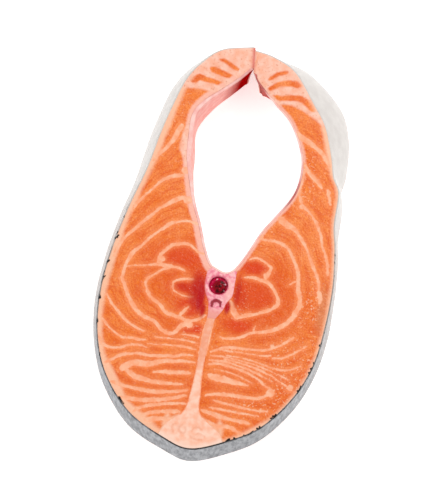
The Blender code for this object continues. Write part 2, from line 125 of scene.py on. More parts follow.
# Pale sheets between the muscle's flakes: the width at the first and at the last point, then the
# points of the line that each makes on the cut face.
SHEETS = (
    # left half, rings round the backbone
    (0.7, 1.1, ((-8.2, -5.6), (-10.9, -6.5), (-14.1, -6.3), (-16.8, -5.3), (-18.2, -3.3),
                (-18.1, -1.5), (-16.2, -0.5), (-13.5, 0.5), (-10.4, 0.9))),
    (1.0, 1.5, ((-14.5, 3.9), (-17.8, 4.7), (-20, 4.4), (-23.2, 2.9), (-25.7, 1), (-27.8, -0.8),
                (-29, -3.2), (-28.6, -5.4), (-26.9, -8), (-24.4, -10.2), (-22, -11.6),
                (-20, -13.5), (-17.9, -14.8), (-14.2, -15.5), (-10.8, -16.6), (-8.3, -16.6),
                (-5.8, -15.3), (-3.3, -13))),
    (1.2, 1.5, ((-10.4, -10.9), (-12.2, -13), (-13.5, -15))),
    (1.0, 1.8, ((-7.6, 12.3), (-10.8, 12.8), (-13.1, 14.7), (-15.5, 15.5), (-18.5, 14.9),
                (-21.4, 13.6), (-23.7, 11.3), (-25.4, 8.4), (-25.2, 6), (-22.6, 4.8),
                (-20, 4.9))),
    (0.4, 0.9, ((-39.5, 1.5), (-35.5, 2.5), (-26.3, 4.6), (-24.2, 4.7))),
    (1.2, 1.6, ((-12.4, 24.4), (-15.9, 24.9), (-19.4, 24.5), (-22.3, 23.2), (-25.3, 20.9),
                (-28.3, 18), (-30.9, 14.9), (-33.5, 11.6), (-36, 8.4), (-37.9, 4.2),
                (-38.5, 0.4), (-38.7, -3), (-37.4, -5.3), (-36, -8), (-34.7, -10.8),
                (-32.7, -13.8), (-29.9, -16.4), (-26.5, -17.9), (-23.2, -18.8),
                (-19.8, -21.6), (-17.1, -22.8), (-14.7, -22.8))),
    (1.6, 2.4, ((-14.7, -22.8), (-13.2, -20.9), (-11.2, -18.7), (-8.5, -17))),
    (0.7, 0.9, ((-11.5, -22.6), (-8, -22.4), (-4.4, -22.6))),
    (1.8, 1.0, ((-18.5, 35.3), (-21.4, 34.2), (-24.2, 32.5), (-26.9, 30.3), (-30, 27.7),
                (-32.5, 24.5), (-35.1, 21.2), (-37.6, 17.9), (-39.9, 15.1), (-41.7, 12.4),
                (-43.1, 8.9), (-43.7, 5.5))),
    (1.7, 1.0, ((-21.9, 44.2), (-25.3, 43.5), (-28.5, 41.7), (-31.1, 39), (-33.7, 35.7),
                (-36.2, 32.5), (-38.4, 29.3), (-39.3, 27))),
    (2.2, 1.2, ((-26, 66), (-27, 62), (-28, 59.9), (-30.4, 55.5), (-32.9, 51.8), (-35, 49))),
    (0.8, 1.1, ((-43.5, -10.7), (-41.4, -13.7), (-38.8, -16.2), (-35.9, -18.9), (-33, -21.1),
                (-29.9, -22.5), (-26.2, -23.4))),
    (0.9, 1.0, ((-44, -20.7), (-41.8, -22.9), (-39.4, -24.9), (-36.2, -26.6), (-32.6, -27.3),
                (-28.3, -27.3), (-25, -27))),
    (1.3, 1.0, ((-44.3, -27), (-42.2, -30.7), (-39.5, -32.1), (-36.6, -32.2), (-33.6, -31.2),
                (-31.4, -30), (-27.2, -29.6), (-24, -30))),
    # left half, along the back
    (1.4, 1.1, ((-39.4, -38.7), (-37.2, -37.1), (-34.7, -35.4), (-31.4, -33.8), (-27.3, -33.1),
                (-23, -33.2), (-18.1, -32.9), (-13.4, -31.9), (-9.3, -30.7), (-5.2, -30.4))),
    (3.0, 1.0, ((-32.1, -40.3), (-30.4, -38.4), (-28.2, -37), (-24.4, -36.7), (-21, -36.4),
                (-17.1, -34.9), (-13.1, -33.8), (-8.7, -33.4), (-3.5, -33))),
    (0.8, 2.0, ((-19.7, -39.5), (-15.7, -38.9), (-11.6, -38.5))),
    (2.0, 1.2, ((-11.6, -38.5), (-7.5, -37.8), (-5.2, -37.4))),
    (2.5, 1.1, ((-30, -40.7), (-27.7, -41.9), (-24.7, -42.9), (-21.5, -43.4), (-17.6, -43.5),
                (-12.8, -43.2), (-7.1, -42.5))),
    (1.6, 1.3, ((-35.3, -46), (-32.4, -46.5), (-28.8, -47.1), (-24.6, -47.5), (-20.1, -47.5),
                (-15, -46.9), (-9.6, -45.8), (-5, -44.7))),
    (1.9, 1.6, ((-30.8, -51.8), (-27.3, -51.7), (-23.2, -51.7), (-19.1, -51), (-14.4, -49.9),
                (-9.8, -48.4), (-5.2, -47.1))),
    (1.6, 1.2, ((-24.7, -56.7), (-22.6, -54.9), (-19.7, -53.5), (-16.1, -52.3), (-11.4, -51.3),
                (-6.7, -50.5), (-3.9, -50.6))),
    (1.6, 1.3, ((-21.7, -58.2), (-19.2, -56.5), (-15.9, -55.3), (-11.9, -54.5), (-6.8, -53.9))),
    (1.8, 1.4, ((-19.7, -59.3), (-16.5, -58.2), (-12.4, -57.6), (-9, -57))),
    # right half, rings round the backbone
    (2.4, 2.2, ((5.7, -6.2), (7.5, -9.2), (9.7, -12.2))),
    (1.0, 1.5, ((9.95, 4.8), (13.8, 5.2), (17.3, 4.8), (20, 3.7), (22, 2), (23.6, -0.3),
                (24.7, -2.7), (24.4, -4.6), (22.6, -6.4))),
    (1.7, 1.2, ((22.6, -6.4), (19.7, -8.2), (16.3, -9.5), (13.4, -10.7), (9.7, -12.2))),
    (0.8, 1.8, ((10.8, 12.9), (13.5, 14), (16, 13.2), (18.4, 11.7), (19.8, 10.3), (19.2, 8.2),
                (18.2, 6))),
    (1.1, 1.8, ((13.3, 22.2), (16.8, 22.2), (20.3, 21.9), (23.3, 21), (25.7, 19.4),
                (27.4, 16.9), (29.1, 13.8), (30.6, 10.4), (31.4, 6.8), (32, 3.2),
                (33.2, -0.3))),
    (1.8, 1.1, ((33.2, -0.3), (33.3, -3.2), (32.4, -6.3), (31.1, -9.1), (29, -11.8),
                (26.5, -13.9), (23.2, -15.5), (19.9, -16.6), (17.2, -17.3), (14.2, -18.7),
                (10.3, -20.8), (5.6, -21.5), (4, -21))),
    (0.8, 0.8, ((28.2, 4.8), (30.5, 6.2))),
    (0.8, 0.8, ((17.3, -14.4), (16.9, -16.5))),
    (3.4, 1.3, ((20.3, 32.1), (22.7, 30.1), (26.4, 28.5), (28.5, 26.3))),
    (1.3, 1.3, ((28.5, 26.3), (30.6, 24), (32.4, 21.4), (34.1, 18), (35.9, 14.6), (37.7, 11.6),
                (39.3, 8.1), (40, 4.5))),
    (1.3, 2.2, ((40, 4.5), (40.9, 1.8), (41.4, -1))),
    (1.2, 1.2, ((26.5, 43.1), (28.1, 39.5), (30.6, 37.3), (33.1, 35), (35.1, 32.3),
                (36.6, 29.5), (38, 26), (39.2, 22.5), (40.6, 19), (42, 15.9), (42.8, 11.3))),
    (1.2, 1.0, ((26.3, 43), (26.2, 48), (26.6, 52), (27.2, 55))),
    (2.4, 1.2, ((20.9, 70), (24.9, 67.9), (28.8, 65.7), (32.9, 62.8), (36.9, 57.5))),
    (2.2, 1.4, ((25.6, 57.5), (28, 54.5), (30.5, 52.2), (33, 49.9), (35.1, 47.6))),
    (1.5, 1.2, ((37.8, 47.3), (38.8, 44.2), (39.6, 41))),
    # right half, along the back
    (1.1, 1.0, ((1.4, -27.6), (4.4, -26.1), (7.8, -24.9), (12.1, -24.7), (16.4, -24.4),
                (20.7, -23.9), (23.8, -23), (26.8, -21.6), (29.8, -19.8), (32.9, -16.9))),
    (0.8, 0.8, ((26.1, -26.6), (29.6, -26), (32.9, -24), (36.2, -21.6), (38.7, -19.5))),
    (0.7, 0.7, ((7.6, -28.1), (13, -28.4), (17.8, -28.9), (22.6, -29.6), (26.7, -30.6),
                (31.1, -30.7), (34.5, -29.7), (37.5, -27.8))),
    (0.7, 0.8, ((7.1, -29.8), (12.3, -30.4), (17.1, -31.1), (21.9, -32.1), (26.5, -33.6),
                (30.4, -35.6), (33.5, -37))),
    (0.9, 1.1, ((1, -33), (2.5, -32.5), (6, -32.1), (10.1, -32.7), (14.2, -33.4), (18.3, -34.4),
                (21.8, -35.9), (25, -38.3), (28.2, -40))),
    (0.5, 0.5, ((1.5, -29.3), (6, -28.9), (12, -29.4), (18, -30.1), (24, -31.2), (29, -32.8),
                (33, -33.9))),
    (0.5, 0.5, ((1.2, -31.2), (6, -30.8), (11, -31.5), (17, -32.6), (22, -33.9), (27, -36))),
    (0.5, 0.5, ((2, -26.6), (9, -26.2), (15, -26.3), (21, -26.3), (25, -25.6))),
    (0.5, 0.5, ((3, -34.8), (9, -35), (15, -36.3), (20, -37.9))),
    # at the stem
    (3.6, 3.4, ((-0.8, -15), (-1.4, -19), (-1.6, -24), (-1.9, -30))),
    (0.5, 0.5, ((-22, -25.2), (-16, -25), (-10, -24.8), (-4.2, -25.2))),
    (0.5, 0.5, ((-24, -28.5), (-17, -28), (-10, -27.5), (-4.5, -27.8))),
    (2.0, 3.4, ((2, -37.1), (3.7, -37.7), (7, -38.1))),
    (3.4, 0.8, ((7, -38.1), (10.7, -38.6), (14.3, -38.8), (18, -39.1))),
    (1.2, 1.5, ((2.1, -45.4), (3.7, -44.9), (7.6, -44.3), (11.9, -44.2), (16.2, -44.2),
                (20.5, -44), (24, -43.2), (26.6, -41.1))),
    (0.9, 0.9, ((5.1, -47), (9.2, -47.7), (13.6, -48), (17.9, -48.2), (23, -48.4),
                (27.3, -48.4))),
    (0.8, 0.9, ((4.5, -50.3), (8.9, -50.5), (13.9, -50.5), (19, -50.7), (24.1, -50.6))),
    (1.7, 1.4, ((1.2, -51.8), (5.6, -52.7), (9.3, -53.5), (13.3, -53.7), (17, -54),
                (20.7, -54.5))),
    (1.4, 1.2, ((4.3, -55.8), (6.2, -56.5), (9.2, -57.1), (12.8, -56.9), (15.8, -57.6),
                (18.5, -59))),
)

# Wider pale patches where sheets meet: x, y, radius.
PATCHES = (
    (-8.8, -18.0, 1.4), (-18.0, 34.0, 1.7), (-21.0, 46.5, 1.5), (18.3, 7.0, 0.9),
    (13.0, 23.5, 1.5), (28.2, 38.5, 1.0), (25.0, -21.7, 0.9),
    (34.6, -37.2, 1.2), (27.0, -40.8, 1.6), (-24.6, 7.4, 1.2),
)

# Where the belly ends are fat, and the strips of muscle within it: half-widths and points.
FAT_ENDS = (
    ((-34.0, 82.6), (-26.9, 82.9), (-20.4, 83.1), (-13.8, 82.4), (-18.0, 76.2), (-22.5, 70.2),
     (-24.9, 64.0), (-25.4, 56.0), (-21.0, 48.0), (-12.0, 60.0), (0.2, 80.0), (0.2, 110.0),
     (-34.0, 110.0)),
    ((0.2, 80.0), (12.2, 80.0), (13.4, 81.7), (17.8, 82.0), (22.5, 80.0), (27.2, 77.6),
     (36.0, 72.0), (44.0, 80.0), (30.0, 110.0), (0.2, 110.0)),
)
STRIPS = (
    (0.7, 1.0, ((-14.9, 97.7), (-11.8, 96.6), (-7, 94.2))),
    (1.5, 0.9, ((-17.7, 93.0), (-13.1, 91.5), (-7, 90))),
    (1.6, 0.8, ((-24.6, 86.4), (-22.1, 88.4), (-18.4, 87.6), (-11.6, 86.5))),
    (0.8, 0.9, ((6.5, 91.8), (9.5, 94.5), (13.6, 96.5))),
    (0.9, 1.6, ((7, 87.5), (10.2, 89.8), (14.7, 91.4), (19.4, 91.5))),
    (1.0, 1.6, ((9.4, 84.8), (12.2, 84.2), (17.1, 85.2), (22.3, 84.9), (26.8, 81.6))),
)

# Curled marks on the pad of fat at the back and the bow on the backbone, given like the sheets.
SWIRLS = (
    (0.4, 0.7, ((-5.0, -58.4), (-6.2, -59.6), (-5.8, -61.4), (-4.2, -62.2))),
    (0.3, 0.5, ((-4.0, -59.3), (-3.2, -60.4), (-3.6, -61.6))),
    (0.3, 0.4, ((-7.6, -58.6), (-8.8, -60.2), (-8.0, -62.4))),
    (0.3, 0.4, ((-1.0, -60.6), (-0.2, -59.2), (1.6, -58.8), (3.0, -59.6))),
    (0.3, 0.4, ((0.6, -61.6), (2.4, -61.2), (4.4, -62.0))),
    (0.3, 0.4, ((-1.2, -63.2), (1.2, -63.8), (3.4, -63.6))),
)
BOW = (
    (1.2, 1.2, ((-1.2, -9.2), (-1.3, -7.4), (0.3, -6.3), (1.8, -6.9), (2.0, -8.4))),
)

# Places with their own tone, and the places with more painted highlights: x, y, reach in x and y,
# and strength.
DEEPER = (
    (20, -38, 22, 14, 0.45), (-12, -48, 24, 12, 0.45), (20, -4, 14, 16, 0.85),
    (-18, 2, 15, 13, 0.6), (-14, -20, 14, 6, 0.4), (30, 60, 6, 10, 0.2),
)
REDDER = (
    (-15.5, 9.2, 10.5, 5.0, 0.75), (-13.5, -3.0, 5.5, 3.0, 0.9), (-7.5, -19.6, 5.5, 2.6, 1.0),
    (13.1, 9.4, 5.8, 3.6, 0.95), (14.5, -2.5, 8.0, 6.0, 0.6), (10.0, -15.6, 6.5, 3.2, 0.85),
    (-9.5, -10.0, 5.5, 5.0, 0.95), (22.5, 46.0, 1.4, 9.0, 0.7), (9.5, -2.0, 3.0, 8.0, 0.8),
    (-7.5, -2.0, 4.0, 10.0, 0.9),
)
BLOODY = (
    (-8.0, -3.5, 3.6, 7.5, 0.62), (-6.4, -5.5, 1.7, 6.5, 0.95), (8.0, -2.0, 1.6, 6.5, 0.5),
    (4.9, -8.6, 1.2, 2.6, 0.85), (-4.8, -11.0, 1.3, 3.2, 0.7), (-12.5, -3.0, 5.0, 2.0, 0.4),
    (10.5, -4.0, 2.5, 3.5, 0.25),
)
# Painted highlights: where pale glints of the wet surface are strewn thicker over the flesh.
PAINTED_GLINTS = (
    (34, -34, 9, 16, 0.55), (38, -6, 5, 14, 0.45), (9, -5, 5, 8, 0.3), (24, -48, 9, 5, 0.5),
    (-4, -22, 8, 5, 0.3), (28, 50, 6, 14, 0.4), (-30, 70, 8, 16, 0.2), (15, 30, 6, 8, 0.35),
)
BROWNER = ((42.6, -4.0, 2.0, 10.0, 0.4), (-44.8, 4.0, 1.6, 9.0, 0.45))
# Where the pale band under the skin is wider.
RIMMED = (
    (-37, -46, 9, 8, 1.0), (-24, -57, 9, 4, 0.8), (34, 66, 6, 10, 0.6), (-32, 66, 4, 16, 0.4),
    (-44, 6, 3, 14, 0.4), (24, -56, 10, 4, 0.4),
)

# Dark specks on the skin's upper edge: x, y, radius.
SPECKS = (
    (-46.5, 14.5, 1.3), (-46.0, 2.5, 1.0), (-47.5, -3.5, 1.2), (-48.3, -11.5, 1.2),
    (-47.0, -21.5, 1.2), (-43.8, -36.0, 0.5), (-42.8, 27.0, 0.8), (-30.5, -53.5, 1.0),
    (15.5, -62.5, 1.4), (22.0, -58.5, 1.2), (25.5, -54.5, 1.2), (30.3, -51.3, 1.3),
    (38.5, -37.5, 1.3), (41.0, -31.0, 1.1), (41.5, -27.0, 1.0), (45.0, -17.5, 0.9),
)


def smooth(knots, step):
    """Points about one step apart on a smooth curve through the knots, with all their columns."""
    knots = np.array(knots, float)
    line = np.vstack([2 * knots[0] - knots[1], knots, 2 * knots[-1] - knots[-2]])
    rows = []
    for before, start, end, after in zip(line, line[1:], line[2:], line[3:]):
        count = max(1, round(float(np.linalg.norm((end - start)[:2])) / step))
        for t in np.arange(count) / count:
            slope = (end - before) * t
            bend = (2 * before - 5 * start + 4 * end - after) * t**2
            twist = (3 * start - before - 3 * end + after) * t**3
            rows.append(start + 0.5 * (slope + bend + twist))
    return np.array(rows + [knots[-1]])


def left_normals(points):
    run = np.gradient(points[:, :2], axis=0)
    run /= np.linalg.norm(run, axis=1, keepdims=True)
    return np.stack([-run[:, 1], run[:, 0]], axis=1)


def leaning(points, away, lean):
    return np.hstack([points[:, :2], away * np.asarray(lean)[:, None]])


def upright(points):
    points = np.asarray(points, float)[:, :2]
    return np.hstack([points, np.zeros_like(points)])


def inset(rows, towards, distance):
    moved = rows.copy()
    moved[:, :2] += towards * np.asarray(distance).reshape(-1, 1)
    return moved


def loop_inward(points):
    run = np.roll(points, -1, axis=0) - np.roll(points, 1, axis=0)
    run /= np.linalg.norm(run, axis=1, keepdims=True)
    return np.stack([-run[:, 1], run[:, 0]], axis=1)


def corner_share(points, spacing):
    """1 along an even loop, less at a sharp corner, where an edge can't be rounded as far."""
    count = len(points)
    gaps = np.hypot(*(points[:, None] - points[None]).transpose(2, 0, 1))
    apart = np.abs(np.arange(count)[:, None] - np.arange(count)[None])
    gaps[np.minimum(apart, count - apart) < 2] = np.inf
    return np.clip(gaps.min(axis=1) / (CORNER_ROOM * spacing), 0, 1)[:, None] ** 2


def inside(loop, spots):
    x, y = spots[:, 0], spots[:, 1]
    hit = np.zeros(len(spots), bool)
    for (ax, ay), (bx, by) in zip(loop, np.roll(loop, -1, axis=0)):
        if ay == by:
            continue
        cross = (ay > y) != (by > y)
        hit ^= cross & (x < ax + (y - ay) * (bx - ax) / (by - ay))
    return hit


def edge_distance(loop, spots):
    """The distance from each spot to the nearest edge of a closed loop."""
    nearest = np.full(len(spots), np.inf)
    for start, end in zip(loop, np.roll(loop, -1, axis=0)):
        along = end - start
        share = np.clip((spots - start) @ along / (along @ along), 0, 1)
        gap = spots - start - share[:, None] * along
        nearest = np.minimum(nearest, np.hypot(gap[:, 0], gap[:, 1]))
    return nearest


def value_noise(points, size, seed):
    """Smooth noise from -1 to 1 whose lumps are about that many millimetres wide."""
    side = 32
    table = np.random.default_rng(seed).uniform(-1, 1, (side, side, side))
    place = np.asarray(points, float) / size + 1000.5
    cell = np.floor(place).astype(int)
    part = place - cell
    part = part * part * (3 - 2 * part)
    total = np.zeros(len(place))
    for corner in itertools.product((0, 1), repeat=3):
        index = (cell + corner) % side
        weight = np.prod(np.where(corner, part, 1 - part), axis=1)
        total += weight * table[index[:, 0], index[:, 1], index[:, 2]]
    return total


def face_spots(loop, step, rng):
    """An uneven triangular grid of spots within a loop, none close to its edge."""
    low, high = loop.min(axis=0), loop.max(axis=0)
    rows = []
    for n, y in enumerate(np.arange(low[1], high[1], step * math.sqrt(3) / 2)):
        x = np.arange(low[0] + (n % 2) * step / 2, high[0], step)
        rows.append(np.stack([x, np.full_like(x, y)], axis=1))
    spots = np.vstack(rows)
    spots += rng.uniform(-JITTER, JITTER, spots.shape) * step
    spots = spots[inside(loop, spots)]
    distance = edge_distance(loop, spots)
    keep = distance > OUTLINE_MARGIN * step
    return spots[keep], distance[keep]


def cap(loops, spots):
    """Triangles over the loops and spots, as indices into the loops' points and then the spots."""
    points = np.vstack(loops + [spots])
    edges, first = [], 0
    for loop in loops:
        count = len(loop)
        edges += [(first + n, first + (n + 1) % count) for n in range(count)]
        first += count
    flat = [Vector((float(x), float(y))) for x, y in points]
    made, _, faces, origins, _, _ = geometry.delaunay_2d_cdt(flat, edges, [], 1, 1e-6)
    crossed = [tuple(round(v, 2) for v in spot) for spot, known in zip(made, origins) if not known]
    if crossed:
        raise ValueError(f"the outline of {len(loops[0])} points crosses itself at {crossed[:6]}")
    faces = np.array([[origins[corner][0] for corner in face] for face in faces])
    middles = points[faces].mean(axis=1)
    kept = inside(loops[0], middles)
    for hole in loops[1:]:
        kept &= ~inside(hole, middles)
    return faces[kept]


def profile(bottom, top, rounding, level):
    """Heights up a wall and how far each is drawn in, both edges rounded off."""
    turn = np.linspace(0, math.pi / 2, ROUND_STEPS)
    rise, draw = rounding * np.sin(turn), rounding * (1 - np.cos(turn))
    count = max(2, round((top - bottom - 2 * rounding) / level))
    middle = np.linspace(bottom + rounding, top - rounding, count + 1)
    heights = np.concatenate([bottom + rounding - rise[::-1], middle[1:-1], top - rounding + rise])
    drawn = np.concatenate([draw[::-1], np.zeros(count - 1), draw])
    return heights, drawn


class Shape:
    """The points and faces of one piece, with where each point lies on the upper cut face.

    A wave makes the walls uneven by up to that much, and level is the spacing of their rows. The
    zone of a point is 0 on the walls, 1 on the upper face and 2 on the lower one, and its edge is
    the distance from the face's outline.
    """

    def __init__(self, loops, bottom, top, rounding=ROUNDING, face_step=FACE_STEP, wave=0.0,
                 level=WALL_LEVEL):
        rng = np.random.default_rng(SEED)
        heights, drawn = profile(bottom, top, rounding, level)
        total = sum(len(loop) for loop in loops)
        verts, flat = [], []
        shares = [corner_share(loop[:, :2], OUTLINE_STEP) for loop in loops]
        for z, draw in zip(heights, drawn):
            share = 1 - min(1.0, max(0.0, z / THICK)) ** LEAN_POWER
            for loop, room in zip(loops, shares):
                ring = loop[:, :2] + loop[:, 2:] * share
                dents = draw * room
                if wave:
                    spots = np.column_stack([ring, np.full(len(ring), z)])
                    uneven = 0.5 + 0.5 * value_noise(spots, 3.5, SEED)
                    dents = dents + wave * room * uneven[:, None]
                ring = ring + loop_inward(ring) * dents
                verts.append(np.column_stack([ring, np.full(len(ring), z)]))
                flat.append(loop[:, :2])
        faces, first = [], 0
        for loop in loops:
            count = len(loop)
            here = first + np.arange(count)
            there = first + (np.arange(count) + 1) % count
            for row in range(len(heights) - 1):
                low, high = row * total, (row + 1) * total
                sides = [low + here, low + there, high + there, high + here]
                faces.append(np.stack(sides, axis=1))
            first += count
        cuts = np.cumsum([len(loop) for loop in loops])[:-1]
        self.faces = [tuple(face) for face in np.vstack(faces)]
        verts, flat = np.vstack(verts), np.vstack(flat)
        zone = np.zeros(len(verts), int)
        edge = np.zeros(len(verts))
        for upper in (False, True):
            z = heights[-1] if upper else heights[0]
            base = (len(heights) - 1) * total if upper else 0
            rings = np.split(verts[base:base + total, :2], cuts)
            spots, distance = face_spots(rings[0], face_step if upper else UNDER_STEP, rng)
            for hole in rings[1:]:
                clear = edge_distance(hole, spots) > HOLE_MARGIN * face_step
                free = ~inside(hole, spots) & clear
                spots, distance = spots[free], distance[free]
                distance = np.minimum(distance, edge_distance(hole, spots))
            start = len(verts)
            made = cap(rings, spots)
            index = np.where(made < total, made + base, made - total + start)
            if not upper:
                index = index[:, ::-1]
            self.faces += [tuple(face) for face in index]
            verts = np.vstack([verts, np.column_stack([spots, np.full(len(spots), z)])])
            flat = np.vstack([flat, spots])
            zone = np.concatenate([zone, np.full(len(spots), 1 if upper else 2)])
            edge = np.concatenate([edge, distance])
        self.verts, self.flat, self.zone, self.edge = verts, flat, zone, edge
        self.values = {}

    def lift(self, rise):
        """Raises the upper face, not above the solids, and dents the lower one a little."""
        upper = self.zone == 1
        self.verts[upper, 2] = np.minimum(self.verts[upper, 2] + rise[upper], HIGHEST)
        under = self.zone == 2
        self.verts[under, 2] += UNDER_RELIEF * np.abs(rise[under])

    def build(self, name, material, node):
        mesh = bpy.data.meshes.new(name)
        points = self.verts * MM + np.array(origin)
        mesh.from_pydata(points.tolist(), [], [tuple(int(n) for n in face) for face in self.faces])
        mesh.validate()
        mesh.shade_smooth()
        for key, value in self.values.items():
            made = mesh.attributes.new(key, "FLOAT", "POINT")
            made.data.foreach_set("value", np.asarray(value, np.float32))
        mesh.materials.append(material)
        piece = bpy.data.objects.new(name, mesh)
        scene.collection.objects.link(piece)
        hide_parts(node)
        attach(piece, "root")


def lines_distance(spots, lines, half=0.5, thinned=0.0):
    """How far each spot is from the edge of the nearest band, less than nothing within it.

    Each line is the band's width at its first and last point, and its points. Half is 0.5, or 1
    for a table of half-widths, and the bands are drawn thinner by thinned at each side.
    """
    nearest = np.full(len(spots), FAR)
    for first, last, knots in lines:
        curve = smooth(knots, CURVE_STEP)
        widths = np.maximum(np.linspace(first, last, len(curve)) * half - thinned, THINNEST)
        rows = np.arange(len(curve))
        widths *= np.clip(np.minimum(rows, rows[::-1]) + 1.2, 0, 2) / 2
        low, high = curve.min(axis=0) - LINE_REACH, curve.max(axis=0) + LINE_REACH
        near = np.flatnonzero(((spots > low) & (spots < high)).all(axis=1))
        here = spots[near]
        best = nearest[near]
        for start, end, w0, w1 in zip(curve, curve[1:], widths, widths[1:]):
            along = end - start
            share = np.clip((here - start) @ along / (along @ along), 0, 1)
            gap = here - start - share[:, None] * along
            best = np.minimum(best, np.hypot(gap[:, 0], gap[:, 1]) - (w0 + (w1 - w0) * share))
        nearest[near] = best
    return nearest


def wavy(spots):
    """The spots moved a little, so that what is drawn by them has uneven edges."""
    moved = spots.copy()
    solid = np.column_stack([spots, np.zeros(len(spots))])
    for axis in (0, 1):
        coarse = 0.36 * value_noise(solid, 3.6, 20 + axis)
        moved[:, axis] += coarse + 0.1 * value_noise(solid, 1.3, 30 + axis)
    return moved


def spots_distance(spots, places):
    nearest = np.full(len(spots), FAR)
    for x, y, radius in places:
        nearest = np.minimum(nearest, np.hypot(spots[:, 0] - x, spots[:, 1] - y) - radius)
    return nearest


def rim_point(row, across):
    """A point by the skin's upper edge: that far across down the wall, or inwards if negative."""
    row = int(np.clip(round(row), 0, len(outer) - 1))
    if across < 0:
        return np.array([*(outer[row, :2] + outer_away[row] * across), THICK])
    z = THICK - SKIN_DROP - across
    return np.array([*(outer[row, :2] + outer[row, 2:] * (1 - (z / THICK) ** LEAN_POWER)), z])


def dark_strokes():
    """Short strokes over the skin's upper edge, as start, end and radius."""
    rng = np.random.default_rng(SEED)
    # the outline's row, how far the strokes reach and how many there are
    marks = [(nearest_row(outer, place[:2]), place[2], 4) for place in SPECKS]
    free = np.flatnonzero(outer[:, 1] < STROKES_BELOW)
    strewn = rng.choice(free, SMALL_STROKES, replace=False)
    marks += [(int(row), 0.45, 1) for row in strewn]
    made = []
    for row, reach, count in marks:
        for _ in range(count):
            rows = row + rng.uniform(-3.2, 3.2, 2) * reach
            across = rng.uniform(-0.9, 1.2, 2) * reach
            radius = rng.uniform(0.2, 0.36) * math.sqrt(reach)
            made.append((rim_point(rows[0], across[0]), rim_point(rows[1], across[1]), radius))
    return made


def strokes_distance(points, strokes):
    """How far each point is from the edge of the nearest stroke, less than nothing within it."""
    nearest = np.full(len(points), FAR)
    for start, end, radius in strokes:
        near = np.flatnonzero(np.abs(points - start).max(axis=1) < STROKE_REACH)
        along = end - start
        share = np.clip((points[near] - start) @ along / max(along @ along, 1e-6), 0, 1)
        gap = np.linalg.norm(points[near] - start - share[:, None] * along, axis=1)
        nearest[near] = np.minimum(nearest[near], gap - radius)
    return nearest


def tone(spots, places):
    """How strongly the nearest of the soft-edged ovals shows at each spot."""
    total = np.zeros(len(spots))
    for x, y, reach_x, reach_y, strength in places:
        q = ((spots[:, 0] - x) / reach_x) ** 2 + ((spots[:, 1] - y) / reach_y) ** 2
        total = np.maximum(total, strength * np.exp(-0.7 * q**1.6))
    return total


def outer_rows():
    """Points of the outline with their lean, and the direction away from the flesh."""
    curve = smooth(OUTER, OUTLINE_STEP)
    away = -left_normals(curve)
    rows = leaning(curve, away, curve[:, 2])
    return inset(rows, away, -SKIN_INSET), away


def inner_rows():
    """Points of the belly cavity with their lean, the way to the flesh, the lining's thickness."""
    curve = smooth(INNER, OUTLINE_STEP)
    away = -left_normals(curve)
    return leaning(curve, away, curve[:, 2]), away, curve[:, 3]


def slit_x(y):
    return SLIT[0] + (y - SLIT[1]) * (SLIT[2] - SLIT[0]) / (SLIT[3] - SLIT[1])


def side_ends(rows, left, shift=None):
    """The rows with the one at the slit moved, by default against the other belly end."""
    moved = rows.copy()
    end = 0 if left else len(rows) - 1
    if shift is None:
        shift = abs(slit_x(moved[end, 1]) - moved[end, 0]) + SLIT_PRESS
    moved[end, 0] += shift if left else -shift
    return moved


def nearest_row(rows, spot):
    return int(np.argmin(np.linalg.norm(rows[:, :2] - np.array(spot), axis=1)))


def fat_side(left, outside):
    """One side of the back fat, down to the row of the outline that it ends at."""
    side = smooth(FAT_LEFT if left else FAT_RIGHT, OUTLINE_STEP)
    corner = nearest_row(outside, side[-1])
    side[-1] = outside[corner, :2]
    return side, corner


def flesh_loop(left):
    outside = inset(outer, outer_away, -SKIN_SHOWN)
    cavity = inset(inner, inner_away, lining_thick + TOUCH)
    fat, corner = fat_side(left, outside)
    bone = smooth(BONE_LEFT if left else BONE_RIGHT, OUTLINE_STEP)
    bend = nearest_row(cavity, bone[0])
    middle = np.vstack([cavity[bend, :2], bone, fat])
    away = -left_normals(middle) if left else left_normals(middle)
    middle = upright(middle + away * TOUCH)[:-1]
    if left:
        return np.vstack([side_ends(outside[:corner + 1], True), middle[::-1],
                          side_ends(cavity[:bend], True)[::-1]])
    return np.vstack([side_ends(outside[corner:], False),
                      side_ends(cavity[bend + 1:], False)[::-1], middle])


def fat_loop():
    outside = inset(outer, outer_away, -SKIN_SHOWN)
    left, first = fat_side(True, outside)
    right, last = fat_side(False, outside)
    return np.vstack([upright(left[:-1]), outside[first:last + 1], upright(right[-2::-1])])


def circle(radius, sides):
    turn = np.arange(sides) * 2 * math.pi / sides
    return np.stack([radius * np.cos(turn), radius * np.sin(turn)], axis=1)


def bone_loops():
    cavity = inset(inner, inner_away, lining_thick + TOUCH)
    left = smooth(BONE_LEFT, OUTLINE_STEP)
    right = smooth(BONE_RIGHT, OUTLINE_STEP)
    first, last = nearest_row(cavity, left[0]), nearest_row(cavity, right[0])
    roof = cavity[first:last + 1]
    ring = np.vstack([upright(left), upright(right[::-1]), roof[::-1]])
    return [ring, upright(circle(MARROW_RADIUS, HOLE_SIDES)[::-1])]


# Finishes

LIGHT = 0.98            # how bright the studio makes a white surface
WALL_LIGHT = 1.5        # the same for the outer wall, which the floor lights too
SHEEN = 0.018           # what the wet surface adds to every colour


def seen(red, green, blue, light=LIGHT):
    """A colour by its 0 to 255 values in the finished picture, less the light and the sheen."""
    colour = []
    for value in (red, green, blue):
        share = value / 255
        linear = ((share + 0.055) / 1.055) ** 2.4 if value > 10 else share / 12.92
        colour.append(min(0.96, max(0.002, linear - SHEEN) / light))
    return (*colour, 1.0)


